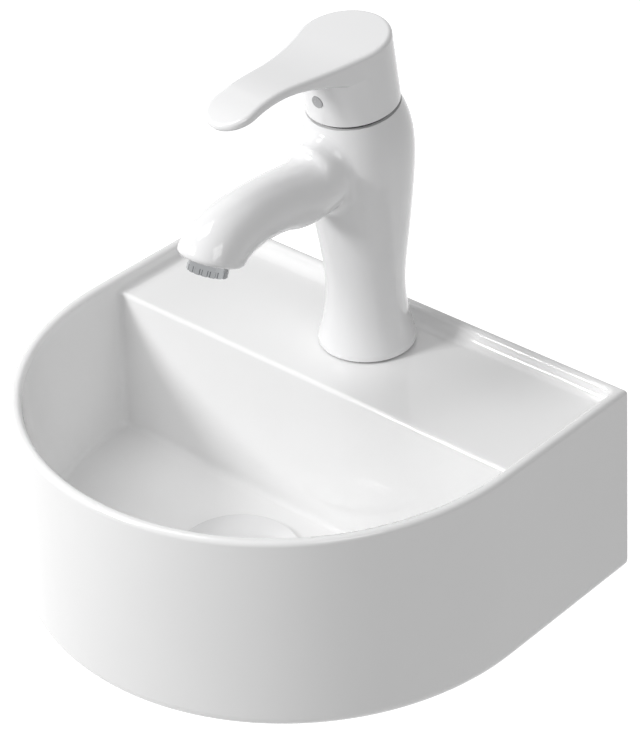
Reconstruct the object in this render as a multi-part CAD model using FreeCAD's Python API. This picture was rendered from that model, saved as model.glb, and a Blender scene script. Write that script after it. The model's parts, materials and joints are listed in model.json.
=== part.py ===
import FreeCAD
import Part
import math
import os

from FreeCAD import Placement, Rotation, Vector

# Small wall-hung wash basin: a D-shaped bowl with its flat back against the wall, a deck with a
# single-lever mixer tap, and a push-open waste. Millimetres, +X right, +Y into the wall, +Z up.
# The origin is midway between the two wall bolts, in the plane of the wall.

# ---------------------------------------------------------------- basin
BASIN_WIDTH = 290.0             # at the rim
FLANK_LENGTH = 98.0             # straight flank, from the wall to the start of the round front
BASIN_HEIGHT = 113.0
OUTER_FLARE = 3.0               # the outer wall comes this far outward at its foot
BACK_EDGE_ROUND = 1.2           # edges of the flat back
BASE_EDGE_ROUND = 6.5
RIM_WIDTH = 6.0
RIM_ROUND = 2.8
DECK_DROP = 8.0                 # deck surface below the rim
DECK_DEPTH = 80.0               # inner face of the back rim to the deck's front edge
DECK_THICKNESS = 12.0
DECK_EDGE_ROUND = 2.5
DECK_COVE = 6.0
BOWL_FLOOR_HEIGHT = 22.5        # bowl floor above the underside
BOWL_FLOOR_THICKNESS = 10.0
BOWL_BACK_LEAN = 8.0            # the bowl's back wall comes this far forward at its foot
BOWL_BACK_COVE = 4.2
BOWL_SIDE_DRAFT = 3.5           # the bowl's round wall comes this far inward at its foot
BOWL_SIDE_COVE = 3.8
BACK_WALL = 9.0
DIVIDING_WALL = 10.0            # between the bowl and the hollow under the deck
UNDERSIDE_WALL = 11.0           # outer wall beside the hollows of the underside
UNDERSIDE_ROUND = 5.0
BOLT_SPACING = 180.0
BOLT_HEIGHT = 76.0              # wall bolts above the underside
BOLT_HOLE_RADIUS = 6.5
TAP_SETBACK = 36.5              # tap hole's centre from the wall
TAP_HOLE_RADIUS = 17.5
WASTE_SETBACK = 144.4           # waste hole's centre from the wall
WASTE_HOLE_RADIUS = 22.5
WASTE_RECESS_RADIUS = 33.5
WASTE_RECESS_DEPTH = 3.5

# ---------------------------------------------------------------- tap body and spout
GASKET_RADIUS = 24.4
GASKET_THICKNESS = 1.0
FOOT_RADIUS = 26.2
FOOT_HEIGHT = 3.0
FOOT_ROUND = 0.8
NECK_HEIGHT = 141.7
NECK_RADIUS = 24.6
# Height above the foot's underside and radius of the flared lower body.
FLARE_STATIONS = ((8.0, 24.8), (17.0, 22.7), (36.0, 21.2))
# Depth below the neck and radius of the upper body.
BODY_STATIONS = ((81.7, 23.4), (58.7, 26.3), (36.7, 28.8), (23.7, 29.5), (10.7, 28.2))
LEAN_LENGTH = 92.7              # the body curves forward over this height below the neck
LEAN_REACH = 4.1                # how far forward the neck's centre lies
HEAD_TILT = 8.0                 # degrees that the head leans forward
HOLLOW_RADIUS = 16.5
# Reach from the tap hole's axis, depth below the neck, degrees below level, radius of the spout.
SPOUT_STATIONS = ((15.0, 35.2, 0.0, 19.5), (43.5, 32.7, -6.0, 17.1), (61.5, 30.7, -6.0, 15.8),
                  (77.5, 29.5, 0.0, 15.3), (90.5, 30.2, 10.0, 15.6), (101.5, 32.7, 30.0, 16.3),
                  (109.0, 37.2, 52.0, 17.0), (112.0, 41.2, 66.0, 17.2))
SPOUT_BLEND = 8.0
MOUTH_ROUND = 3.0
WATERWAY_RADIUS = 6.5
WATERWAY_WALL = 3.0             # metal left between the waterway and the cartridge chamber
INLET_SPREAD = 6.5              # inlet ports, each side of the tap's axis
INLET_THREAD_RADIUS = 4.5
INLET_THREAD_DEPTH = 13.0
INLET_PORT_RADIUS = 3.0
INLET_FORWARD = 6.0             # inlet ports in front of the tap hole's centre
INLET_WALL = 1.5                # metal left between the inlet threads and the waterway

# ---------------------------------------------------------------- fixing under the deck
STUD_RADIUS = 4.0
STUD_OFFSET = 10.5              # stud behind the tap hole's centre
STUD_LENGTH = 92.0
STUD_ENGAGEMENT = 24.0          # stud screwed into its boss
STUD_BOSS_RADIUS = 7.0
STUD_BOSS_BOTTOM = 18.0         # boss above the foot's underside
CLAMP_RADIUS = 22.0
HOSE_GAP = 0.3                  # round the two supply hoses, where they pass the clamp's slot
CLAMP_WEB = 1.5                 # least metal between the stud's hole and the slot
CLAMP_GASKET_THICKNESS = 3.0
CLAMP_PLATE_THICKNESS = 2.5
STUD_NUT_ACROSS_FLATS = 13.0
STUD_NUT_HEIGHT = 25.0

# ---------------------------------------------------------------- cartridge (heights from the neck)
CHAMBER_RADIUS = 17.5
CHAMBER_DEPTH = 39.2
NUT_BORE_RADIUS = 19.0
NUT_BORE_DEPTH = 4.0
SEAL_THICKNESS = 1.2
OUTLET_FORWARD = 8.5            # cartridge's outlet in front of its axis
INLET_SIDE = 6.8                # cartridge's inlets, each side of its axis
INLET_BACK = 4.25               # and behind it
PORT_RADIUS = 3.0
CARTRIDGE_BASE_THICKNESS = 2.0
HOUSING_WALL = 2.0
HOUSING_ROOF = 4.7
FIXED_DISC_RADIUS = 13.0
FIXED_DISC_THICKNESS = 3.0
MOVING_DISC_RADIUS = 11.0
MOVING_DISC_THICKNESS = 6.6
ROTOR_NECK_RADIUS = 12.0
ROTOR_NECK_TOP = -2.0
ROTOR_BOTTOM = -24.0
PIVOT_DEPTH = 17.0              # lever pivot below the neck's top face
LIFT_ANGLE = 20.0
SPINDLE_WIDTH = 8.0
SPINDLE_TOP = 31.0
SPINDLE_TAIL_RADIUS = 2.6
BALL_RADIUS = 3.0
BALL_DROP = 10.5                # ball's centre below the lever pivot
PIN_RADIUS = 1.5
NUT_HEIGHT_ABOVE_NECK = 6.0
NUT_BOTTOM_BORE = 12.6
NUT_TOP_BORE = 14.6
NUT_CHAMFER = 2.0
COVER_RING_WIDTH = 3.3
COVER_RING_HEIGHT = 2.0

# ---------------------------------------------------------------- handle (heights from the neck)
SKIRT_RADIUS = 24.5
SKIRT_WALL = 3.5
SWING_RADIUS = 31.0             # spherical underside of the skirt, about the lever pivot
CAP_TOP = 40.5
CAP_ROOF = 4.5
TIP_RADIUS = 14.0
TIP_REACH = 79.6                # centre of the lever's round tip from the cap's axis
NECK_ARC_RADIUS = 215.0         # concave sides of the lever, seen from above
LEVER_ROOT_HEIGHT = 28.0        # where the lever's underside leaves the skirt
LEVER_ROOT_REACH = 21.0
# Distance from the cap's axis and height, along the lever's top and its underside.
LEVER_TOP_LINE = ((12.0, 40.5), (44.0, 43.6), (60.0, 46.3), (76.0, 46.6), (88.0, 44.6), (100.0, 42.0))
LEVER_UNDER_LINE = ((31.0, 32.5), (44.0, 37.6), (60.0, 41.2), (80.0, 41.1), (100.0, 37.2))
HANDLE_TOP_ROUND = 2.3
HANDLE_UNDER_ROUND = 1.8
BOSS_RADIUS = 8.0
BOSS_BOTTOM = 12.0
SCREW_RADIUS = 2.0
SCREW_HEIGHT = 15.0
PLUG_RADIUS = 3.4
PLUG_PROUD = 0.3

# ---------------------------------------------------------------- aerator
AERATOR_THREAD_RADIUS = 9.9
AERATOR_BORE_DEPTH = 12.0
AERATOR_COLLAR_RADIUS = 10.4
AERATOR_PROUD = 6.5
AERATOR_WALL = 1.4
AERATOR_WASHER_THICKNESS = 1.6
AERATOR_NOTCHES = 16
AERATOR_NOTCH_RADIUS = 0.8
AERATOR_JET_RADIUS = 0.9
AERATOR_JETS = ((0.0, 1), (0.4, 6), (0.75, 12))     # share of the core's radius, and count
AERATOR_CORE_RECESS = 1.0       # core inside the collar's lower face

# ---------------------------------------------------------------- waste
FLANGE_RADIUS = 31.5
FLANGE_SEAL_THICKNESS = 0.8
TAIL_RADIUS = 20.9
TAIL_BORE_RADIUS = 17.5
TAIL_LENGTH = 62.0
TRAP_THREAD_LENGTH = 38.0       # lower end of the tail, which takes the trap
TRAP_GROOVE_WIDTH = 2.0
TRAP_GROOVE_DEPTH = 0.8
LOWER_SEAL_RADIUS = 31.0
LOWER_SEAL_THICKNESS = 4.0
WASTE_WASHER_THICKNESS = 1.5
WASTE_NUT_ACROSS_FLATS = 56.0
WASTE_NUT_HEIGHT = 8.0
HUB_RADIUS = 11.0
HUB_TOP = 12.0                  # depths below the bowl floor
HUB_HEIGHT = 8.0
HUB_ARMS = 3
HUB_ARM_WIDTH = 3.0
SLEEVE_RADIUS = 7.5
SLEEVE_COLLAR_RADIUS = 9.5
SLEEVE_COLLAR_HEIGHT = 4.0
SLEEVE_LENGTH = 28.0
SLEEVE_CHAMBER_RADIUS = 5.8
SLEEVE_END_WALL = 2.0
SLEEVE_GUIDE_LENGTH = 6.0
STEM_RADIUS = 4.0
STEM_COLLAR_RADIUS = 5.5
STEM_COLLAR_HEIGHT = 2.0
STEM_PILOT_RADIUS = 3.0
STEM_PILOT_LENGTH = 8.0
CAP_LIFT = 8.0                  # travel of the waste cap
CAP_RADIUS = 33.0
CAP_EDGE_GAP = 1.5              # closed cap above the bowl floor
CAP_EDGE_HEIGHT = 2.0
CAP_CROWN = 5.0
CAP_EDGE_ROUND = 0.8
CAP_POCKET_RADIUS = 28.0
CAP_POCKET_DEPTH = 2.0
CAP_BOSS_RADIUS = 8.0
CAP_SEAL_INNER = 22.0
CAP_SEAL_OUTER = 26.5

# ---------------------------------------------------------------- clearances
THREAD_FIT = 0.05               # radial, screwed pieces
RUNNING_FIT = 0.05              # radial, turning and sliding pieces
LOOSE_FIT = 0.1                 # dropped-in pieces
FREE_GAP = 0.3                  # between pieces that move past each other
SPINDLE_GAP = 0.1               # spindle in the handle's socket
CUT_OVER = 1.0                  # cutting tools reach this far past the face that they open

# ---------------------------------------------------------------- levels and places
HALF_WIDTH = BASIN_WIDTH / 2
BASE_Z = -BOLT_HEIGHT
RIM_Z = BASE_Z + BASIN_HEIGHT
DECK_Z = RIM_Z - DECK_DROP
DECK_UNDER_Z = DECK_Z - DECK_THICKNESS
FLOOR_Z = BASE_Z + BOWL_FLOOR_HEIGHT
FLOOR_UNDER_Z = FLOOR_Z - BOWL_FLOOR_THICKNESS
DECK_FRONT_Y = -RIM_WIDTH - DECK_DEPTH
FOOT_Z = DECK_Z + GASKET_THICKNESS
STUD_Y = -TAP_SETBACK + STUD_OFFSET
NECK_Z = FOOT_Z + NECK_HEIGHT
HEAD_ORIGIN = Vector(0, -TAP_SETBACK - LEAN_REACH, NECK_Z)
HEAD_PLACE = Placement(HEAD_ORIGIN, Rotation(Vector(1, 0, 0), HEAD_TILT))
MOUTH_REACH, MOUTH_DEPTH, MOUTH_DIP, MOUTH_RADIUS = SPOUT_STATIONS[-1]

# Cartridge heights, measured from the neck's top face along the tilted head axis.
SEAL_BOTTOM = -CHAMBER_DEPTH
BASE_PLATE_BOTTOM = SEAL_BOTTOM + SEAL_THICKNESS
HOUSING_BOTTOM = BASE_PLATE_BOTTOM + CARTRIDGE_BASE_THICKNESS
HOUSING_TOP = -NUT_BORE_DEPTH
HOUSING_RADIUS = CHAMBER_RADIUS - LOOSE_FIT
HOUSING_BORE = HOUSING_RADIUS - HOUSING_WALL
ROTOR_RADIUS = HOUSING_BORE - LOOSE_FIT
ROTOR_SHOULDER = HOUSING_TOP - HOUSING_ROOF - FREE_GAP
FIXED_DISC_BOTTOM = HOUSING_BOTTOM + LOOSE_FIT
FIXED_DISC_TOP = FIXED_DISC_BOTTOM + FIXED_DISC_THICKNESS
MOVING_DISC_BOTTOM = FIXED_DISC_TOP + LOOSE_FIT
MOVING_DISC_TOP = MOVING_DISC_BOTTOM + MOVING_DISC_THICKNESS
BALL_HEIGHT = -PIVOT_DEPTH - BALL_DROP
CAP_INSIDE_TOP = CAP_TOP - CAP_ROOF

# Where the waterway starts under the cartridge, and the levels of the hollow foot below it.
WATERWAY_START = HEAD_PLACE.multVec(Vector(0, -OUTLET_FORWARD, SEAL_BOTTOM - WATERWAY_RADIUS - PORT_RADIUS))
INLET_TOP_Z = WATERWAY_START.z - WATERWAY_RADIUS - INLET_WALL
HOLLOW_ROOF_Z = INLET_TOP_Z - INLET_THREAD_DEPTH
INLET_Y = -TAP_SETBACK - INLET_FORWARD

# The slot in the clamp lets both hoses through and keeps clear of the stud.
CLAMP_SLOT_RADIUS = INLET_SPREAD + INLET_THREAD_RADIUS + HOSE_GAP
CLAMP_SLOT_Y = min(INLET_Y, STUD_Y - STUD_RADIUS - LOOSE_FIT - CLAMP_WEB - CLAMP_SLOT_RADIUS)


def upright(x, y, z):
    """Placement at a point, unturned."""
    return Placement(Vector(x, y, z), Rotation())


def cylinder(radius, bottom, top, x=0.0, y=0.0):
    return Part.makeCylinder(radius, top - bottom, Vector(x, y, bottom))


def tube(outer, inner, bottom, top, x=0.0, y=0.0):
    bore = cylinder(inner, bottom - CUT_OVER, top + CUT_OVER, x, y)
    return cylinder(outer, bottom, top, x, y).cut(bore)


def block(x0, x1, y0, y1, z0, z1):
    return Part.makeBox(x1 - x0, y1 - y0, z1 - z0, Vector(x0, y0, z0))


def rod_along(radius, start, end):
    """Round rod from one point to another."""
    run = end.sub(start)
    return Part.makeCylinder(radius, run.Length, start, run)


def hexagon(across_flats, bottom, top, x=0.0, y=0.0):
    corner = across_flats / math.sqrt(3)
    turns = [math.radians(60 * n + 30) for n in range(7)]
    points = [Vector(x + corner * math.cos(t), y + corner * math.sin(t), bottom) for t in turns]
    return Part.Face(Part.makePolygon(points)).extrude(Vector(0, 0, top - bottom))


def prism_along_x(points, half_width):
    """Prism from (y, z) corners, reaching half_width to each side."""
    corners = [Vector(-half_width, y, z) for y, z in points + points[:1]]
    return Part.Face(Part.makePolygon(corners)).extrude(Vector(2 * half_width, 0, 0))


def prism_along_y(points, y0, y1):
    """Prism from (x, z) corners, between two distances from the wall."""
    corners = [Vector(x, y0, z) for x, z in points + points[:1]]
    return Part.Face(Part.makePolygon(corners)).extrude(Vector(0, y1 - y0, 0))


def turned(points):
    """Solid of revolution about Z from (radius, height) corners."""
    corners = [Vector(r, 0, z) for r, z in points + points[:1]]
    return Part.Face(Part.makePolygon(corners)).revolve(Vector(0, 0, 0), Vector(0, 0, 1), 360)


def edges_where(shape, test):
    return [edge for edge in shape.Edges if test(edge)]


def lies_at(edge, **place):
    """Whether every vertex of an edge has the given coordinate, such as z=10."""
    axis, value = next(iter(place.items()))
    return all(abs(getattr(v.Point, axis) - value) < 1e-4 for v in edge.Vertexes)


def one_solid(shape):
    """The shape as a single clean solid."""
    clean = shape.removeSplitter()
    return clean.Solids[0] if len(clean.Solids) == 1 else clean


# ---------------------------------------------------------------- basin

def d_block(foot, mouth, bottom, top):
    """D-shaped block against the wall, from its half widths at the bottom and at the top."""
    between_flanks = [(-foot, bottom), (foot, bottom), (mouth, top), (-mouth, top)]
    rear = prism_along_y(between_flanks, -FLANK_LENGTH, 0)
    centre = Vector(0, -FLANK_LENGTH, bottom)
    front = Part.makeCone(foot, mouth, top - bottom, centre, Vector(0, 0, 1), 180)
    front.rotate(centre, Vector(0, 0, 1), 180)
    return one_solid(rear.fuse(front))


def inner_half_width(z):
    """Half width between the inner walls, which lean inward towards the bowl floor."""
    return HALF_WIDTH - RIM_WIDTH - BOWL_SIDE_DRAFT * (RIM_Z - z) / (RIM_Z - FLOOR_Z)


def bowl_back_y(z):
    """Front face of the bowl's back wall, which leans forward towards its foot."""
    return DECK_FRONT_Y - BOWL_BACK_LEAN * (DECK_Z - z) / (DECK_Z - FLOOR_Z)


def basin_interior():
    """The open space above the deck and in the bowl, with all its coves."""
    top = RIM_Z + CUT_OVER
    steps = [(-RIM_WIDTH, top), (-RIM_WIDTH, DECK_Z), (DECK_FRONT_Y, DECK_Z),
             (bowl_back_y(FLOOR_Z), FLOOR_Z), (-2 * FLANK_LENGTH, FLOOR_Z), (-2 * FLANK_LENGTH, top)]
    rear = prism_along_x(steps, HALF_WIDTH)
    for radius, y, z in ((DECK_COVE, -RIM_WIDTH, DECK_Z), (DECK_EDGE_ROUND, DECK_FRONT_Y, DECK_Z),
                         (BOWL_BACK_COVE, bowl_back_y(FLOOR_Z), FLOOR_Z)):
        along = edges_where(rear, lambda e: lies_at(e, y=y) and lies_at(e, z=z))
        rear = rear.makeFillet(radius, along)
    foot, mouth = inner_half_width(FLOOR_Z), inner_half_width(top)
    between_flanks = [(-foot, FLOOR_Z), (foot, FLOOR_Z), (mouth, top), (-mouth, top)]
    rear = rear.common(prism_along_y(between_flanks, -FLANK_LENGTH, 0))
    centre = Vector(0, -FLANK_LENGTH, FLOOR_Z)
    front = Part.makeCone(foot, mouth, top - FLOOR_Z, centre, Vector(0, 0, 1), 180)
    front.rotate(centre, Vector(0, 0, 1), 180)
    space = one_solid(rear.fuse(front))
    along_wall = edges_where(space, on_interior_side)
    return space.makeFillet(BOWL_SIDE_COVE, along_wall)


def on_interior_side(edge):
    """Edges where the flanks and the round wall meet the deck, the back walls and the floor."""
    middle = edge.valueAt((edge.FirstParameter + edge.LastParameter) / 2)
    for p in [vertex.Point for vertex in edge.Vertexes] + [middle]:
        radius = abs(p.x) if p.y > -FLANK_LENGTH else math.hypot(p.x, p.y + FLANK_LENGTH)
        if abs(radius - inner_half_width(p.z)) > 0.01:
            return False
    return middle.z < RIM_Z + CUT_OVER / 2 + 1e-3 and abs(middle.y + FLANK_LENGTH) > 1e-3


def underside_hollows():
    """The hollow under the deck, open below, and the shallow one under the bowl floor."""
    low = BASE_Z - CUT_OVER
    half = HALF_WIDTH - UNDERSIDE_WALL
    steps = [(-BACK_WALL, low), (-BACK_WALL, DECK_UNDER_Z),
             (bowl_back_y(DECK_UNDER_Z) + DIVIDING_WALL, DECK_UNDER_Z),
             (bowl_back_y(low) + DIVIDING_WALL, low)]
    under_deck = prism_along_x(steps, half)
    inner_edges = edges_where(under_deck, lambda e: not lies_at(e, z=low))
    under_deck = under_deck.makeFillet(UNDERSIDE_ROUND, inner_edges)
    back_y = bowl_back_y(FLOOR_Z)
    outline = cylinder(half, low, FLOOR_UNDER_Z, 0, -FLANK_LENGTH)
    outline = outline.fuse(block(-half, half, -FLANK_LENGTH, 0, low, FLOOR_UNDER_Z))
    ahead = block(-half, half, -FLANK_LENGTH - half, back_y, low, FLOOR_UNDER_Z)
    return under_deck, one_solid(outline.common(ahead))


def basin_body():
    body = d_block(HALF_WIDTH + OUTER_FLARE, HALF_WIDTH, BASE_Z, RIM_Z)
    base_edges = edges_where(body, lambda e: lies_at(e, z=BASE_Z) and not lies_at(e, y=0))
    body = body.makeFillet(BASE_EDGE_ROUND, base_edges)
    back_edges = edges_where(body, lambda e: lies_at(e, y=0) and not lies_at(e, z=RIM_Z))
    body = body.makeFillet(BACK_EDGE_ROUND, back_edges)
    body = body.cut(basin_interior())
    body = body.makeFillet(RIM_ROUND, edges_where(body, lambda e: lies_at(e, z=RIM_Z)))
    for hollow in underside_hollows():
        body = body.cut(hollow)
    for side in (-1, 1):
        start = Vector(side * BOLT_SPACING / 2, -BACK_WALL - CUT_OVER, 0)
        body = body.cut(rod_along(BOLT_HOLE_RADIUS, start, Vector(start.x, CUT_OVER, 0)))
    body = body.cut(cylinder(TAP_HOLE_RADIUS, DECK_UNDER_Z - CUT_OVER, DECK_Z + CUT_OVER, 0, -TAP_SETBACK))
    waste = cylinder(WASTE_HOLE_RADIUS, FLOOR_UNDER_Z - CUT_OVER, FLOOR_Z, 0, -WASTE_SETBACK)
    recess = cylinder(WASTE_RECESS_RADIUS, FLOOR_Z - WASTE_RECESS_DEPTH, FLOOR_Z + CUT_OVER,
                      0, -WASTE_SETBACK)
    return one_solid(body.cut(waste).cut(recess))


# ---------------------------------------------------------------- tap body

def tap_lean(depth):
    """Forward shift of the body's centre and tilt of its section at a depth below the neck."""
    share = max(0.0, 1 - depth / LEAN_LENGTH)
    return LEAN_REACH * share ** 2, HEAD_TILT * share


def section(radius, y, z, tilt):
    """Circle whose axis leans from +Z towards the front by tilt degrees."""
    ring = Part.Wire(Part.makeCircle(radius))
    ring.Placement = Placement(Vector(0, y, z), Rotation(Vector(1, 0, 0), tilt))
    return ring


def tap_column():
    """The waisted body, from its foot to the tilted neck."""
    foot = cylinder(FOOT_RADIUS, FOOT_Z, FOOT_Z + FOOT_HEIGHT, 0, -TAP_SETBACK)
    foot = foot.makeFillet(FOOT_ROUND, edges_where(foot, lambda e: lies_at(e, z=FOOT_Z)))
    rings = [section(FOOT_RADIUS, -TAP_SETBACK, FOOT_Z + FOOT_HEIGHT, 0)]
    flare = tuple((NECK_HEIGHT - height, radius) for height, radius in FLARE_STATIONS)
    for depth, radius in flare + BODY_STATIONS + ((0.0, NECK_RADIUS),):
        shift, tilt = tap_lean(depth)
        rings.append(section(radius, -TAP_SETBACK - shift, NECK_Z - depth, tilt))
    return foot.fuse(Part.makeLoft(rings, True))


def spout():
    rings = [section(radius, -TAP_SETBACK - reach, NECK_Z - depth, 90 + dip)
             for reach, depth, dip, radius in SPOUT_STATIONS]
    return Part.makeLoft(rings, True)


def mouth_place():
    """Frame at the spout's mouth: its own +Z points the way the water leaves."""
    centre = Vector(0, -TAP_SETBACK - MOUTH_REACH, NECK_Z - MOUTH_DEPTH)
    return Placement(centre, Rotation(Vector(1, 0, 0), 90 + MOUTH_DIP))


def in_mouth(shape):
    shape.Placement = mouth_place().multiply(shape.Placement)
    return shape


def in_head(shape):
    shape.Placement = HEAD_PLACE.multiply(shape.Placement)
    return shape


def waterway():
    """Passage from the cartridge's outlet, under the chamber and along the spout."""
    floor = HEAD_PLACE.multVec(Vector(0, -OUTLET_FORWARD, SEAL_BOTTOM + CUT_OVER))
    chamber_front = HEAD_PLACE.multVec(Vector(0, -CHAMBER_RADIUS, SEAL_BOTTOM)).y
    points = [(-TAP_SETBACK - reach, NECK_Z - depth) for reach, depth, dip, radius in SPOUT_STATIONS]
    bend = Vector(0, chamber_front - WATERWAY_WALL - WATERWAY_RADIUS, points[1][1])
    far = Vector(0, *points[4])
    mouth = mouth_place().multVec(Vector(0, 0, -AERATOR_BORE_DEPTH + CUT_OVER))
    path = [WATERWAY_START, bend, far, mouth]
    passage = rod_along(PORT_RADIUS, WATERWAY_START, floor)
    for start, end in zip(path, path[1:]):
        passage = passage.fuse(rod_along(WATERWAY_RADIUS, start, end))
    for corner in path[1:-1]:
        passage = passage.fuse(Part.makeSphere(WATERWAY_RADIUS, corner))
    return passage


def inlet_ports():
    """Two threaded ports in the roof of the hollow foot, each with a bore up to the cartridge."""
    ports = []
    for side in (-1, 1):
        x = side * INLET_SPREAD
        thread = cylinder(INLET_THREAD_RADIUS, HOLLOW_ROOF_Z - CUT_OVER, INLET_TOP_Z, x, INLET_Y)
        start = Vector(x, INLET_Y, INLET_TOP_Z - INLET_PORT_RADIUS)
        end = HEAD_PLACE.multVec(Vector(side * INLET_SIDE, INLET_BACK, SEAL_BOTTOM + CUT_OVER))
        ports.append(thread.fuse(rod_along(INLET_PORT_RADIUS, start, end)))
    return ports


def stud_boss():
    """Boss inside the hollow foot that the fixing stud screws into."""
    return cylinder(STUD_BOSS_RADIUS, FOOT_Z + STUD_BOSS_BOTTOM, HOLLOW_ROOF_Z + CUT_OVER, 0, STUD_Y)


def tap_outside():
    """Body and spout in one, blended where they meet and rounded at the mouth."""
    column, arm = tap_column(), spout()
    outside = one_solid(column.fuse(arm))
    where_they_meet = edges_where(outside, lambda e: touches(e, column) and touches(e, arm))
    outside = outside.makeFillet(SPOUT_BLEND, where_they_meet)
    mouth = mouth_place().multVec(Vector(0, 0, 0))
    mouth_edge = edges_where(outside, lambda e: e.CenterOfMass.distanceToPoint(mouth) < MOUTH_ROUND / 2)
    return outside.makeFillet(MOUTH_ROUND, mouth_edge)


def touches(edge, solid):
    """Whether an edge's middle lies on a solid's skin."""
    middle = Part.Vertex(edge.valueAt((edge.FirstParameter + edge.LastParameter) / 2))
    return solid.Shells[0].distToShape(middle)[0] < 1e-3


def tap_body():
    outside = tap_outside()
    hollow = cylinder(HOLLOW_RADIUS, FOOT_Z - CUT_OVER, HOLLOW_ROOF_Z, 0, -TAP_SETBACK)
    hollow = hollow.cut(stud_boss())
    body = outside.cut(hollow)
    body = body.cut(in_head(cylinder(CHAMBER_RADIUS, SEAL_BOTTOM, CUT_OVER)))
    body = body.cut(in_head(cylinder(NUT_BORE_RADIUS, -NUT_BORE_DEPTH, CUT_OVER)))
    body = body.cut(in_mouth(cylinder(AERATOR_THREAD_RADIUS + THREAD_FIT, -AERATOR_BORE_DEPTH, CUT_OVER)))
    body = body.cut(waterway())
    for port in inlet_ports():
        body = body.cut(port)
    bottom = FOOT_Z + STUD_BOSS_BOTTOM
    return one_solid(body.cut(cylinder(STUD_RADIUS + THREAD_FIT, bottom - CUT_OVER, bottom + STUD_ENGAGEMENT,
                                       0, STUD_Y)))


def base_gasket():
    return tube(GASKET_RADIUS, TAP_HOLE_RADIUS, DECK_Z, FOOT_Z, 0, -TAP_SETBACK)


# ---------------------------------------------------------------- fixing under the deck

def fixing_stud():
    top = FOOT_Z + STUD_BOSS_BOTTOM + STUD_ENGAGEMENT - CUT_OVER
    return cylinder(STUD_RADIUS, top - STUD_LENGTH, top, 0, STUD_Y)


def clamp_piece(top, thickness, stud_gap):
    """Horseshoe under the deck: a disc with a stud hole and a slot open to the front."""
    plate = cylinder(CLAMP_RADIUS, top - thickness, top, 0, -TAP_SETBACK)
    low, high = top - thickness - CUT_OVER, top + CUT_OVER
    plate = plate.cut(cylinder(CLAMP_SLOT_RADIUS, low, high, 0, CLAMP_SLOT_Y))
    front = CLAMP_SLOT_Y - CLAMP_RADIUS
    plate = plate.cut(block(-CLAMP_SLOT_RADIUS, CLAMP_SLOT_RADIUS, front, CLAMP_SLOT_Y, low, high))
    return plate.cut(cylinder(STUD_RADIUS + stud_gap, low, high, 0, STUD_Y))


def horseshoe_gasket():
    return clamp_piece(DECK_UNDER_Z, CLAMP_GASKET_THICKNESS, LOOSE_FIT)


def horseshoe_plate():
    return clamp_piece(DECK_UNDER_Z - CLAMP_GASKET_THICKNESS, CLAMP_PLATE_THICKNESS, LOOSE_FIT)


def stud_nut():
    top = DECK_UNDER_Z - CLAMP_GASKET_THICKNESS - CLAMP_PLATE_THICKNESS
    nut = hexagon(STUD_NUT_ACROSS_FLATS, top - STUD_NUT_HEIGHT, top, 0, STUD_Y)
    bore = cylinder(STUD_RADIUS + THREAD_FIT, top - STUD_NUT_HEIGHT - CUT_OVER, top + CUT_OVER, 0, STUD_Y)
    return nut.cut(bore)


# ---------------------------------------------------------------- cartridge

def port_holes(bottom, top, radius):
    """Two inlets behind and one outlet in front of the cartridge's axis."""
    holes = cylinder(radius, bottom - CUT_OVER, top + CUT_OVER, 0, -OUTLET_FORWARD)
    for side in (-1, 1):
        inlet = cylinder(radius, bottom - CUT_OVER, top + CUT_OVER, side * INLET_SIDE, INLET_BACK)
        holes = holes.fuse(inlet)
    return holes


def cartridge_seals():
    plate = cylinder(HOUSING_RADIUS, SEAL_BOTTOM, BASE_PLATE_BOTTOM)
    return in_head(plate.cut(port_holes(SEAL_BOTTOM, BASE_PLATE_BOTTOM, PORT_RADIUS)))


def cartridge_base():
    plate = cylinder(HOUSING_RADIUS, BASE_PLATE_BOTTOM, HOUSING_BOTTOM)
    return in_head(plate.cut(port_holes(BASE_PLATE_BOTTOM, HOUSING_BOTTOM, PORT_RADIUS)))


def cartridge_housing():
    inside_top = HOUSING_TOP - HOUSING_ROOF
    opening = ROTOR_NECK_RADIUS + FREE_GAP
    shell = [(HOUSING_BORE, HOUSING_BOTTOM), (HOUSING_RADIUS, HOUSING_BOTTOM), (HOUSING_RADIUS, HOUSING_TOP),
             (opening, HOUSING_TOP), (opening, inside_top), (HOUSING_BORE, inside_top)]
    return in_head(turned(shell))


def fixed_disc():
    disc = cylinder(FIXED_DISC_RADIUS, FIXED_DISC_BOTTOM, FIXED_DISC_TOP)
    return in_head(disc.cut(port_holes(FIXED_DISC_BOTTOM, FIXED_DISC_TOP, PORT_RADIUS)))


def moving_disc():
    disc = cylinder(MOVING_DISC_RADIUS, MOVING_DISC_BOTTOM, MOVING_DISC_TOP)
    half = BALL_RADIUS + LOOSE_FIT
    slot_bottom = BALL_HEIGHT - BALL_RADIUS - FREE_GAP
    slot = block(-half, half, -half, half, slot_bottom, MOVING_DISC_TOP + CUT_OVER)
    return in_head(disc.cut(slot))


def spindle_sweep(z):
    """Rearward reach of the square spindle at a height, with the lever fully lifted."""
    lever_arm = z + PIVOT_DEPTH
    lift = math.radians(LIFT_ANGLE)
    return lever_arm * math.tan(lift) + SPINDLE_WIDTH / 2 / math.cos(lift)


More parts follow.
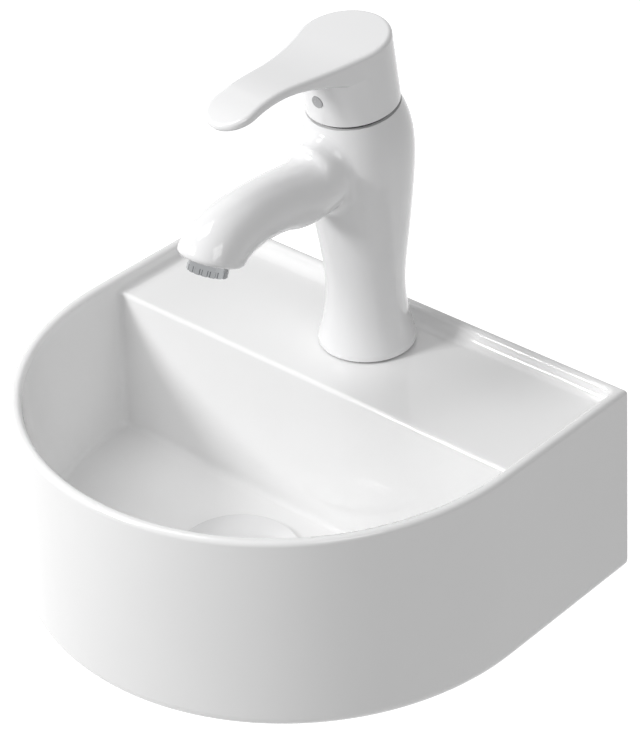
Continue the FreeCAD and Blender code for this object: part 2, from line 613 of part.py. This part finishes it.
def cartridge_rotor():
    """Turns with the lever and carries its pivot pin."""
    outline = [(0, ROTOR_BOTTOM), (ROTOR_RADIUS, ROTOR_BOTTOM), (ROTOR_RADIUS, ROTOR_SHOULDER),
               (ROTOR_NECK_RADIUS, ROTOR_SHOULDER), (ROTOR_NECK_RADIUS, ROTOR_NECK_TOP), (0, ROTOR_NECK_TOP)]
    half = SPINDLE_WIDTH / 2 + FREE_GAP
    top = ROTOR_NECK_TOP + CUT_OVER
    bottom = ROTOR_BOTTOM - CUT_OVER
    rear_top = spindle_sweep(top) + FREE_GAP
    rear_pivot = SPINDLE_WIDTH / 2 / math.cos(math.radians(LIFT_ANGLE)) + FREE_GAP
    front_bottom = -spindle_sweep(-PIVOT_DEPTH * 2 - bottom) - FREE_GAP
    swing = [(-half, top), (-half, -PIVOT_DEPTH), (front_bottom, bottom), (half, bottom),
             (rear_pivot, -PIVOT_DEPTH), (rear_top, top)]
    rotor = turned(outline).cut(prism_along_x(swing, half))
    return in_head(rotor.cut(rod_along(PIN_RADIUS, Vector(-ROTOR_RADIUS - CUT_OVER, 0, -PIVOT_DEPTH),
                                       Vector(ROTOR_RADIUS + CUT_OVER, 0, -PIVOT_DEPTH))))


def spindle_pin():
    half = ROTOR_RADIUS - FREE_GAP
    return in_head(rod_along(PIN_RADIUS, Vector(-half, 0, -PIVOT_DEPTH), Vector(half, 0, -PIVOT_DEPTH)))


def cartridge_spindle():
    half = SPINDLE_WIDTH / 2
    bar = block(-half, half, -half, half, -PIVOT_DEPTH - half, SPINDLE_TOP)
    tail = cylinder(SPINDLE_TAIL_RADIUS, BALL_HEIGHT, -PIVOT_DEPTH)
    spindle = bar.fuse(tail).fuse(Part.makeSphere(BALL_RADIUS, Vector(0, 0, BALL_HEIGHT)))
    hole = rod_along(PIN_RADIUS + RUNNING_FIT, Vector(-half - CUT_OVER, 0, -PIVOT_DEPTH),
                     Vector(half + CUT_OVER, 0, -PIVOT_DEPTH))
    return in_head(one_solid(spindle.cut(hole)))


def cartridge_nut():
    """Screws into the neck and holds the cartridge down."""
    radius = NUT_BORE_RADIUS - THREAD_FIT
    top = NUT_HEIGHT_ABOVE_NECK
    outline = [(NUT_BOTTOM_BORE, HOUSING_TOP), (radius, HOUSING_TOP), (radius, COVER_RING_HEIGHT),
               (radius - NUT_CHAMFER, top), (NUT_TOP_BORE, top)]
    return in_head(turned(outline))


def cover_ring():
    inner = NUT_BORE_RADIUS + FREE_GAP
    return in_head(tube(inner + COVER_RING_WIDTH, inner, 0, COVER_RING_HEIGHT))


# ---------------------------------------------------------------- handle

def lever_outline():
    """Cap circle, concave neck and round tip, seen from above; the lever points along -Y."""
    cap_to_neck = SKIRT_RADIUS + NECK_ARC_RADIUS
    tip_to_neck = TIP_RADIUS + NECK_ARC_RADIUS
    neck_s = (cap_to_neck ** 2 - tip_to_neck ** 2 + TIP_REACH ** 2) / (2 * TIP_REACH)
    neck_x = math.sqrt(cap_to_neck ** 2 - neck_s ** 2)
    cap_s, cap_x = [SKIRT_RADIUS * v / cap_to_neck for v in (neck_s, neck_x)]
    tip_s = TIP_REACH + TIP_RADIUS * (neck_s - TIP_REACH) / tip_to_neck
    tip_x = TIP_RADIUS * neck_x / tip_to_neck
    waist_x = neck_x - NECK_ARC_RADIUS
    at = lambda x, s: Vector(x, -s, 0)
    edges = [
        Part.Arc(at(cap_x, cap_s), at(0, -SKIRT_RADIUS), at(-cap_x, cap_s)).toShape(),
        Part.Arc(at(-cap_x, cap_s), at(-waist_x, neck_s), at(-tip_x, tip_s)).toShape(),
        Part.Arc(at(-tip_x, tip_s), at(0, TIP_REACH + TIP_RADIUS), at(tip_x, tip_s)).toShape(),
        Part.Arc(at(tip_x, tip_s), at(waist_x, neck_s), at(cap_x, cap_s)).toShape(),
    ]
    return Part.Face(Part.Wire(edges)).extrude(Vector(0, 0, CAP_TOP * 2))


def lever_side():
    """Side view of the lever and the cap's upper part, spread to both sides."""
    spread = SKIRT_RADIUS + CUT_OVER
    at = lambda s, k: Vector(-spread, -s, k)
    upper = Part.BSplineCurve()
    upper.interpolate(Points=[at(s, k) for s, k in LEVER_TOP_LINE],
                      InitialTangent=Vector(0, -1, 0), FinalTangent=Vector(0, -1, 0))
    lower = Part.BSplineCurve()
    root = (LEVER_ROOT_REACH, LEVER_ROOT_HEIGHT)
    lower.interpolate(Points=[at(s, k) for s, k in (root,) + LEVER_UNDER_LINE])
    start, end = LEVER_TOP_LINE[0], LEVER_TOP_LINE[-1]
    edges = [
        Part.makeLine(at(-spread, CAP_TOP), at(*start)),
        upper.toShape(),
        Part.makeLine(at(*end), at(*LEVER_UNDER_LINE[-1])),
        lower.toShape(),
        Part.makeLine(at(*root), at(-spread, LEVER_ROOT_HEIGHT)),
        Part.makeLine(at(-spread, LEVER_ROOT_HEIGHT), at(-spread, CAP_TOP)),
    ]
    return Part.Face(Part.Wire(Part.sortEdges(edges)[0])).extrude(Vector(2 * spread, 0, 0))


def screw_path(radius, start, end):
    """Bore or rod along the handle's set screw, between two distances from the cap's axis."""
    return rod_along(radius, Vector(0, -start, SCREW_HEIGHT), Vector(0, -end, SCREW_HEIGHT))


def along_lever(edge, line):
    """Whether an edge of the lever's outline follows the given line of its side view."""
    middle = edge.valueAt((edge.FirstParameter + edge.LastParameter) / 2)
    stations = sorted(line)
    reach = min(max(-middle.y, stations[0][0]), stations[-1][0])
    for (s0, k0), (s1, k1) in zip(stations, stations[1:]):
        if s0 <= reach <= s1:
            height = k0 + (k1 - k0) * (reach - s0) / (s1 - s0)
    beside = abs(middle.x) > 1 or reach > TIP_REACH or middle.y > 0
    return abs(middle.z - height) < 0.6 and beside


def handle():
    paddle = lever_outline().common(lever_side())
    outside = one_solid(paddle.fuse(cylinder(SKIRT_RADIUS, 0, LEVER_ROOT_HEIGHT + CUT_OVER)))
    for radius, line in ((HANDLE_TOP_ROUND, LEVER_TOP_LINE), (HANDLE_UNDER_ROUND, LEVER_UNDER_LINE)):
        rim = edges_where(outside, lambda e: along_lever(e, line))
        outside = outside.makeFillet(radius, rim)
    inside = cylinder(SKIRT_RADIUS - SKIRT_WALL, -CUT_OVER, CAP_INSIDE_TOP)
    boss = cylinder(BOSS_RADIUS, BOSS_BOTTOM, CAP_INSIDE_TOP)
    shape = outside.cut(inside.cut(boss))
    swing = Part.makeSphere(SWING_RADIUS, Vector(0, 0, -PIVOT_DEPTH))
    reach = SKIRT_RADIUS * 2
    below = block(-reach, reach, -reach, reach, -PIVOT_DEPTH * 2, BOSS_BOTTOM)
    shape = shape.cut(swing.common(below))
    half = SPINDLE_WIDTH / 2 + SPINDLE_GAP
    shape = shape.cut(block(-half, half, -half, half, BOSS_BOTTOM - CUT_OVER, SPINDLE_TOP + FREE_GAP))
    shape = shape.cut(screw_path(SCREW_RADIUS + THREAD_FIT, half - CUT_OVER, BOSS_RADIUS + CUT_OVER))
    shape = shape.cut(screw_path(PLUG_RADIUS, BOSS_RADIUS + CUT_OVER, SKIRT_RADIUS + CUT_OVER))
    return in_head(one_solid(shape))


def handle_screw():
    """Headless screw that clamps the handle on its spindle."""
    return in_head(screw_path(SCREW_RADIUS, SPINDLE_WIDTH / 2, BOSS_RADIUS))


def index_plug():
    """Small plain button over the screw's access hole."""
    shell = SKIRT_RADIUS - SKIRT_WALL
    return in_head(screw_path(PLUG_RADIUS - LOOSE_FIT, shell, SKIRT_RADIUS + PLUG_PROUD))


# ---------------------------------------------------------------- aerator

def aerator_housing():
    """Threaded tube with a notched collar that stands proud of the mouth."""
    top = -AERATOR_BORE_DEPTH + AERATOR_WASHER_THICKNESS
    inner = AERATOR_THREAD_RADIUS - AERATOR_WALL
    outline = [(inner, top), (AERATOR_THREAD_RADIUS, top), (AERATOR_THREAD_RADIUS, FREE_GAP),
               (AERATOR_COLLAR_RADIUS, FREE_GAP), (AERATOR_COLLAR_RADIUS, AERATOR_PROUD),
               (inner, AERATOR_PROUD)]
    shape = turned(outline)
    for n in range(AERATOR_NOTCHES):
        turn = math.radians(360 / AERATOR_NOTCHES * n)
        x, y = AERATOR_COLLAR_RADIUS * math.cos(turn), AERATOR_COLLAR_RADIUS * math.sin(turn)
        shape = shape.cut(cylinder(AERATOR_NOTCH_RADIUS, AERATOR_PROUD / 2, AERATOR_PROUD + CUT_OVER, x, y))
    return in_mouth(shape)


def aerator_insert():
    """Plastic core with rings of small water jets."""
    radius = AERATOR_THREAD_RADIUS - AERATOR_WALL - LOOSE_FIT
    top = -AERATOR_BORE_DEPTH + AERATOR_WASHER_THICKNESS
    core = cylinder(radius, top, AERATOR_PROUD - AERATOR_CORE_RECESS)
    for share, count in AERATOR_JETS:
        for n in range(count):
            turn = math.radians(360 / count * n)
            x, y = radius * share * math.cos(turn), radius * share * math.sin(turn)
            core = core.cut(cylinder(AERATOR_JET_RADIUS, top - CUT_OVER, AERATOR_PROUD, x, y))
    return in_mouth(core)


def aerator_washer():
    bottom = -AERATOR_BORE_DEPTH
    return in_mouth(tube(AERATOR_THREAD_RADIUS, WATERWAY_RADIUS, bottom, bottom + AERATOR_WASHER_THICKNESS))


# ---------------------------------------------------------------- waste

def waste_z(depth):
    """Height of a depth below the bowl floor."""
    return FLOOR_Z - depth


def at_waste(shape):
    shape.Placement = upright(0, -WASTE_SETBACK, 0).multiply(shape.Placement)
    return shape


def flange_seal():
    bottom = waste_z(WASTE_RECESS_DEPTH)
    return at_waste(tube(FLANGE_RADIUS, WASTE_HOLE_RADIUS, bottom, bottom + FLANGE_SEAL_THICKNESS))


def waste_body():
    """Flange, threaded tail and the three-armed hub that carries the click sleeve."""
    flange_bottom = waste_z(WASTE_RECESS_DEPTH) + FLANGE_SEAL_THICKNESS
    tail_bottom = flange_bottom - TAIL_LENGTH
    flange = tube(FLANGE_RADIUS, TAIL_BORE_RADIUS, flange_bottom, FLOOR_Z)
    tail = tube(TAIL_RADIUS, TAIL_BORE_RADIUS, tail_bottom, flange_bottom)
    groove_bottom = tail_bottom + TRAP_THREAD_LENGTH
    groove = tube(TAIL_RADIUS + CUT_OVER, TAIL_RADIUS - TRAP_GROOVE_DEPTH, groove_bottom,
                  groove_bottom + TRAP_GROOVE_WIDTH)
    body = flange.fuse(tail).cut(groove)
    hub_top = waste_z(HUB_TOP)
    hub_bottom = hub_top - HUB_HEIGHT
    hub = cylinder(HUB_RADIUS, hub_bottom, hub_top)
    for n in range(HUB_ARMS):
        arm = block(0, TAIL_BORE_RADIUS + CUT_OVER, -HUB_ARM_WIDTH / 2, HUB_ARM_WIDTH / 2,
                    hub_bottom, hub_top)
        arm.rotate(Vector(0, 0, 0), Vector(0, 0, 1), 360 / HUB_ARMS * n + 90)
        hub = hub.fuse(arm)
    body = body.fuse(hub)
    return at_waste(one_solid(body.cut(cylinder(SLEEVE_RADIUS + THREAD_FIT, hub_bottom - CUT_OVER,
                                                hub_top + CUT_OVER))))


def sleeve_levels():
    """Bottom and top of the click sleeve."""
    top = waste_z(HUB_TOP) + SLEEVE_COLLAR_HEIGHT
    return top - SLEEVE_LENGTH, top


def click_sleeve():
    bottom, top = sleeve_levels()
    shoulder = waste_z(HUB_TOP)
    chamber_bottom = bottom + SLEEVE_END_WALL
    chamber_top = top - SLEEVE_GUIDE_LENGTH
    guide = STEM_RADIUS + RUNNING_FIT
    outline = [(0, bottom), (SLEEVE_RADIUS, bottom), (SLEEVE_RADIUS, shoulder),
               (SLEEVE_COLLAR_RADIUS, shoulder), (SLEEVE_COLLAR_RADIUS, top), (guide, top),
               (guide, chamber_top), (SLEEVE_CHAMBER_RADIUS, chamber_top),
               (SLEEVE_CHAMBER_RADIUS, chamber_bottom), (0, chamber_bottom)]
    return at_waste(turned(outline))


def stem_levels():
    """Bottom and top of the stem's collar, and the stem's upper end, with the cap closed."""
    chamber_top = sleeve_levels()[1] - SLEEVE_GUIDE_LENGTH
    collar_top = chamber_top - FREE_GAP - CAP_LIFT
    return collar_top - STEM_COLLAR_HEIGHT, collar_top, cap_pocket_roof()


def cap_pocket_roof():
    return FLOOR_Z + CAP_EDGE_GAP + CAP_POCKET_DEPTH


def waste_stem():
    collar_bottom, collar_top, top = stem_levels()
    pilot_bottom = collar_bottom - STEM_PILOT_LENGTH
    outline = [(0, pilot_bottom), (STEM_PILOT_RADIUS, pilot_bottom), (STEM_PILOT_RADIUS, collar_bottom),
               (STEM_COLLAR_RADIUS, collar_bottom), (STEM_COLLAR_RADIUS, collar_top),
               (STEM_RADIUS, collar_top), (STEM_RADIUS, top), (0, top)]
    return at_waste(turned(outline))


def waste_spring():
    """Space of the coil spring that pushes the stem up."""
    bottom = sleeve_levels()[0] + SLEEVE_END_WALL
    top = stem_levels()[0]
    return at_waste(tube(SLEEVE_CHAMBER_RADIUS - FREE_GAP, STEM_PILOT_RADIUS + FREE_GAP, bottom, top))


def waste_cap():
    """Shallow dome with a pocket below for its seal."""
    bottom = FLOOR_Z + CAP_EDGE_GAP
    edge_top = bottom + CAP_EDGE_HEIGHT
    sphere_radius = (CAP_RADIUS ** 2 + CAP_CROWN ** 2) / (2 * CAP_CROWN)
    dome = Part.makeSphere(sphere_radius, Vector(0, 0, edge_top + CAP_CROWN - sphere_radius))
    cap = dome.common(cylinder(CAP_RADIUS, bottom, edge_top + CAP_CROWN + CUT_OVER))
    cap = cap.makeFillet(CAP_EDGE_ROUND, edges_where(cap, lambda e: lies_at(e, z=edge_top)))
    pocket = tube(CAP_POCKET_RADIUS, CAP_BOSS_RADIUS, bottom - CUT_OVER, cap_pocket_roof())
    socket = cylinder(STEM_RADIUS + THREAD_FIT, bottom - CUT_OVER, cap_pocket_roof())
    return at_waste(one_solid(cap.cut(pocket).cut(socket)))


def waste_cap_seal():
    return at_waste(tube(CAP_SEAL_OUTER, CAP_SEAL_INNER, FLOOR_Z + FREE_GAP, cap_pocket_roof()))


def lower_seal():
    bottom = FLOOR_UNDER_Z - LOWER_SEAL_THICKNESS
    seal = tube(LOWER_SEAL_RADIUS, TAIL_RADIUS + LOOSE_FIT, bottom, FLOOR_UNDER_Z)
    return at_waste(seal)


def waste_washer():
    top = FLOOR_UNDER_Z - LOWER_SEAL_THICKNESS
    return at_waste(tube(LOWER_SEAL_RADIUS, TAIL_RADIUS + LOOSE_FIT, top - WASTE_WASHER_THICKNESS, top))


def waste_nut():
    top = FLOOR_UNDER_Z - LOWER_SEAL_THICKNESS - WASTE_WASHER_THICKNESS
    nut = hexagon(WASTE_NUT_ACROSS_FLATS, top - WASTE_NUT_HEIGHT, top)
    bore = cylinder(TAIL_RADIUS + THREAD_FIT, top - WASTE_NUT_HEIGHT - CUT_OVER, top + CUT_OVER)
    return at_waste(nut.cut(bore))


PIECES = (
    basin_body,
    tap_body, base_gasket, fixing_stud, horseshoe_gasket, horseshoe_plate, stud_nut,
    cartridge_housing, cartridge_base, cartridge_seals, fixed_disc, moving_disc, cartridge_rotor,
    cartridge_spindle, spindle_pin, cartridge_nut, cover_ring,
    handle, handle_screw, index_plug,
    aerator_housing, aerator_insert, aerator_washer,
    waste_cap, waste_cap_seal, waste_stem, waste_spring, click_sleeve, waste_body,
    flange_seal, lower_seal, waste_washer, waste_nut,
)

os.makedirs("parts", exist_ok=True)
for piece in PIECES:
    shape = piece()
    print(f"{piece.__name__:18} solids {len(shape.Solids)} valid {shape.isValid()} volume {shape.Volume:.1f}")
    shape.exportStep(os.path.join("parts", piece.__name__ + ".step"))
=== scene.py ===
import json
import math

import bpy
from mathutils import Matrix, Vector

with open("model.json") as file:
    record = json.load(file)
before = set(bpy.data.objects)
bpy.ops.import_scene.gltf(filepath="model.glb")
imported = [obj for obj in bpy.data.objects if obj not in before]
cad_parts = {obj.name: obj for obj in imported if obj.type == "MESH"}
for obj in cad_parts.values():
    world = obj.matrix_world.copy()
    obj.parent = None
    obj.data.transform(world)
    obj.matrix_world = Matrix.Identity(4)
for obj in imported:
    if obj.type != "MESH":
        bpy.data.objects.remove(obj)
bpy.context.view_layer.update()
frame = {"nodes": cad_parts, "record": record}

# Small wall-hung basin with a single-lever mixer tap, all in metres in the part's own frame:
# +X to the right, +Y into the wall, +Z up, origin between the two wall bolts.

# ---------------------------------------------------------------- camera
CAMERA_PLACE = Vector((0.82294, -0.93974, 0.81055))
CAMERA_AZIMUTH = math.radians(43.562)
CAMERA_ELEVATION = math.radians(33.176)
CAMERA_ROLL = math.radians(-2.833)
PICTURE_HEIGHT = 734            # pixels
FOCAL_PIXELS = 2716.63
SENSOR = 36.0                   # millimetres along the picture's longer side

# ---------------------------------------------------------------- light
AIM = Vector((0.0, -0.10, 0.02))
AMBIENT = 0.28                  # strength of the world where it only lights the object
BACKDROP = 1.0                  # strength of the world where it is seen
LAMP_DISTANCE = 1.5
# name, power in watts, size, way from the object towards the lamp
LAMPS = (
    ("key", 12.2, 0.35, (-0.50, -0.84, 0.62)),
    ("top", 5.2, 0.6, (-0.40, -0.30, 1.00)),
    ("fill", 2.9, 0.6, (1.00, -0.50, 0.80)),
    ("rear", 0.3, 0.6, (-1.00, 0.40, 0.80)),
)
FLOOR_DROP = 0.55               # floor below the wall bolts
FLOOR_HALF = 4.0                # half of the floor's side
FLOOR_GLOW = 0.78               # glow of the floor where it is seen; none where it only lights

# ---------------------------------------------------------------- colours
WHITE_GLAZE = (0.92, 0.92, 0.92)
WHITE_LACQUER = (0.89, 0.89, 0.895)
CHROME = (0.40, 0.41, 0.42)
BUTTON_GREY = (0.42, 0.42, 0.43)
# painted shade: the ring in the gap between handle and body is near black to stand in for the
# shade inside that gap
GAP_SHADE_DARK = (0.05, 0.05, 0.055)
RUBBER = (0.035, 0.035, 0.037)
BRASS = (0.62, 0.46, 0.22)
STEEL = (0.46, 0.47, 0.48)
PALE_PLASTIC = (0.72, 0.72, 0.69)
FLOOR_WHITE = (0.82, 0.82, 0.82)
PURE_WHITE = (1, 1, 1, 1)

# ---------------------------------------------------------------- finishes
NOISE_LOW = 0.3                 # most of a noise factor lies between these two
NOISE_HIGH = 0.7
BROAD_DETAIL = 2.0
FINE_DETAIL = 4.0
FINE_GRAIN = 9                  # fine noise's scale over the broad one's
COAT_ROUGHNESS = 0.03
# material slot of the record: material name, colour, darkest colour's share of the lightest,
# (low, high) roughness, grain as noise scale per metre, relief height in metres, metallic, coat
FINISHES = {
    "glaze": ("glazed_ceramic", WHITE_GLAZE, 0.985, (0.07, 0.12), 14, 0.00012, 0.0, 0.1),
    "lacquer": ("white_lacquer", WHITE_LACQUER, 0.985, (0.08, 0.14), 18, 0.00006, 0.0, 0.3),
    "cap_lacquer": ("white_enamel", WHITE_LACQUER, 0.98, (0.10, 0.18), 18, 0.00006, 0.0, 0.5),
    "chrome": ("polished_chrome", CHROME, 0.9, (0.05, 0.12), 60, 0.00003, 1.0, 0.0),
    # the ring of the joint slot gets the near-black painted shade of the gap under the handle
    "joint": ("painted_gap_shade", GAP_SHADE_DARK, 0.8, (0.3, 0.4), 80, 0.00003, 0.0, 0.0),
    "brass": ("turned_brass", BRASS, 0.85, (0.22, 0.34), 90, 0.00003, 1.0, 0.0),
    "steel": ("plated_steel", STEEL, 0.85, (0.25, 0.38), 90, 0.00003, 1.0, 0.0),
    "rubber": ("black_rubber", RUBBER, 0.8, (0.6, 0.75), 120, 0.00005, 0.0, 0.0),
    "plastic": ("moulded_plastic", PALE_PLASTIC, 0.95, (0.35, 0.5), 70, 0.00003, 0.0, 0.0),
    "button": ("plain_button", BUTTON_GREY, 0.97, (0.2, 0.3), 90, 0.00002, 0.0, 0.0),
    "disc_ceramic": ("lapped_ceramic", WHITE_GLAZE, 0.97, (0.2, 0.3), 60, 0.00001, 0.0, 0.0),
}
FLOOR_FINISH = ("pale_floor", FLOOR_WHITE, 0.99, (0.8, 0.9), 3, 0.0001, 0.0, 0.0)


def link(tree, source, target):
    tree.links.new(source, target)


def noise(tree, coordinates, scale, detail):
    node = tree.nodes.new("ShaderNodeTexNoise")
    node.inputs["Scale"].default_value = scale
    node.inputs["Detail"].default_value = detail
    link(tree, coordinates, node.inputs["Vector"])
    return node.outputs["Fac"]


def spread(tree, factor, low, high):
    """A value that goes from low to high with a noise factor."""
    node = tree.nodes.new("ShaderNodeMapRange")
    node.inputs["From Min"].default_value = NOISE_LOW
    node.inputs["From Max"].default_value = NOISE_HIGH
    node.inputs["To Min"].default_value = low
    node.inputs["To Max"].default_value = high
    link(tree, factor, node.inputs["Value"])
    return node.outputs["Result"]


def make_finish(name, colour, shade, roughness, grain, relief_height, metallic, coat):
    """Surface whose colour, gloss and relief vary a little from place to place."""
    material = bpy.data.materials.new(name)
    material.use_nodes = True
    tree = material.node_tree
    shader = tree.nodes["Principled BSDF"]
    shader.inputs["Metallic"].default_value = metallic
    shader.inputs["Coat Weight"].default_value = coat
    shader.inputs["Coat Roughness"].default_value = COAT_ROUGHNESS
    place = tree.nodes.new("ShaderNodeTexCoord").outputs["Object"]
    broad = noise(tree, place, grain, BROAD_DETAIL)
    fine = noise(tree, place, grain * FINE_GRAIN, FINE_DETAIL)
    ramp = tree.nodes.new("ShaderNodeValToRGB")
    darkest, lightest = ramp.color_ramp.elements
    darkest.position = NOISE_LOW
    darkest.color = [c * shade for c in colour] + [1]
    lightest.position = NOISE_HIGH
    lightest.color = list(colour) + [1]
    link(tree, broad, ramp.inputs["Fac"])
    link(tree, ramp.outputs["Color"], shader.inputs["Base Color"])
    link(tree, spread(tree, fine, *roughness), shader.inputs["Roughness"])
    relief = tree.nodes.new("ShaderNodeBump")
    relief.inputs["Strength"].default_value = 1.0
    relief.inputs["Distance"].default_value = relief_height
    link(tree, broad, relief.inputs["Height"])
    link(tree, relief.outputs["Normal"], shader.inputs["Normal"])
    return material


def dress_nodes():
    """Gives every CAD node the finish of its material slot."""
    finishes = {slot: make_finish(*values) for slot, values in FINISHES.items()}
    for entry in frame["record"]["subparts"]:
        piece = frame["nodes"][entry["node"]]
        surface = finishes[entry["material_slot"]]
        if not piece.material_slots:
            piece.data.materials.append(surface)
        for material_slot in piece.material_slots:
            material_slot.material = surface


# ---------------------------------------------------------------- stage

def add_camera():
    level = math.cos(CAMERA_ELEVATION)
    back = Vector((math.sin(CAMERA_AZIMUTH) * level, -math.cos(CAMERA_AZIMUTH) * level,
                   math.sin(CAMERA_ELEVATION)))
    right = (-back).cross(Vector((0, 0, 1))).normalized()
    up = right.cross(-back)
    cosine, sine = math.cos(CAMERA_ROLL), math.sin(CAMERA_ROLL)
    across = cosine * right + sine * up
    upward = -sine * right + cosine * up
    turn = Matrix((across, upward, back)).transposed().to_4x4()
    data = bpy.data.cameras.new("camera")
    data.sensor_width = SENSOR
    data.lens = FOCAL_PIXELS * SENSOR / PICTURE_HEIGHT
    camera = bpy.data.objects.new("camera", data)
    camera.matrix_world = Matrix.Translation(CAMERA_PLACE) @ turn
    bpy.context.scene.collection.objects.link(camera)
    bpy.context.scene.camera = camera


def add_lamp(name, power, size, way):
    """Square soft lamp that faces the object."""
    data = bpy.data.lights.new(name, "AREA")
    data.energy = power
    data.size = size
    lamp = bpy.data.objects.new(name, data)
    way = Vector(way).normalized()
    lamp.location = AIM + way * LAMP_DISTANCE
    lamp.rotation_euler = way.to_track_quat("Z", "Y").to_euler()
    bpy.context.scene.collection.objects.link(lamp)


def seen_directly(tree):
    """1 for rays from the camera, a mirror or glass, and 0 for light that falls on surfaces."""
    path = tree.nodes.new("ShaderNodeLightPath")
    total = path.outputs["Is Camera Ray"]
    for name in ("Is Glossy Ray", "Is Transmission Ray"):
        larger = tree.nodes.new("ShaderNodeMath")
        larger.operation = "MAXIMUM"
        link(tree, total, larger.inputs[0])
        link(tree, path.outputs[name], larger.inputs[1])
        total = larger.outputs[0]
    return total


def strength_by_ray(tree, unseen, seen):
    """The strength seen for rays that see the surface directly, and unseen for the others."""
    strength = tree.nodes.new("ShaderNodeMapRange")
    strength.inputs["To Min"].default_value = unseen
    strength.inputs["To Max"].default_value = seen
    link(tree, seen_directly(tree), strength.inputs["Value"])
    return strength.outputs["Result"]


def add_world():
    """White where it is seen, a dimmer even light where it only lights the object."""
    world = bpy.data.worlds.new("studio")
    world.use_nodes = True
    tree = world.node_tree
    background = tree.nodes["Background"]
    background.inputs["Color"].default_value = PURE_WHITE
    link(tree, strength_by_ray(tree, AMBIENT, BACKDROP), background.inputs["Strength"])
    bpy.context.scene.world = world


def add_floor():
    """Pale floor well below the basin; its own glow where it is seen brings it up to white."""
    signs = ((-1, -1), (1, -1), (1, 1), (-1, 1))
    corners = [(x * FLOOR_HALF, y * FLOOR_HALF, -FLOOR_DROP) for x, y in signs]
    mesh = bpy.data.meshes.new("floor")
    mesh.from_pydata(corners, [], [(0, 1, 2, 3)])
    floor = bpy.data.objects.new("floor", mesh)
    bpy.context.scene.collection.objects.link(floor)
    material = make_finish(*FLOOR_FINISH)
    tree = material.node_tree
    shader = tree.nodes["Principled BSDF"]
    shader.inputs["Emission Color"].default_value = PURE_WHITE
    link(tree, strength_by_ray(tree, 0.0, FLOOR_GLOW), shader.inputs["Emission Strength"])
    mesh.materials.append(material)


dress_nodes()
add_camera()
for lamp in LAMPS:
    add_lamp(*lamp)
add_world()
add_floor()
bpy.context.scene.view_settings.view_transform = "Standard"
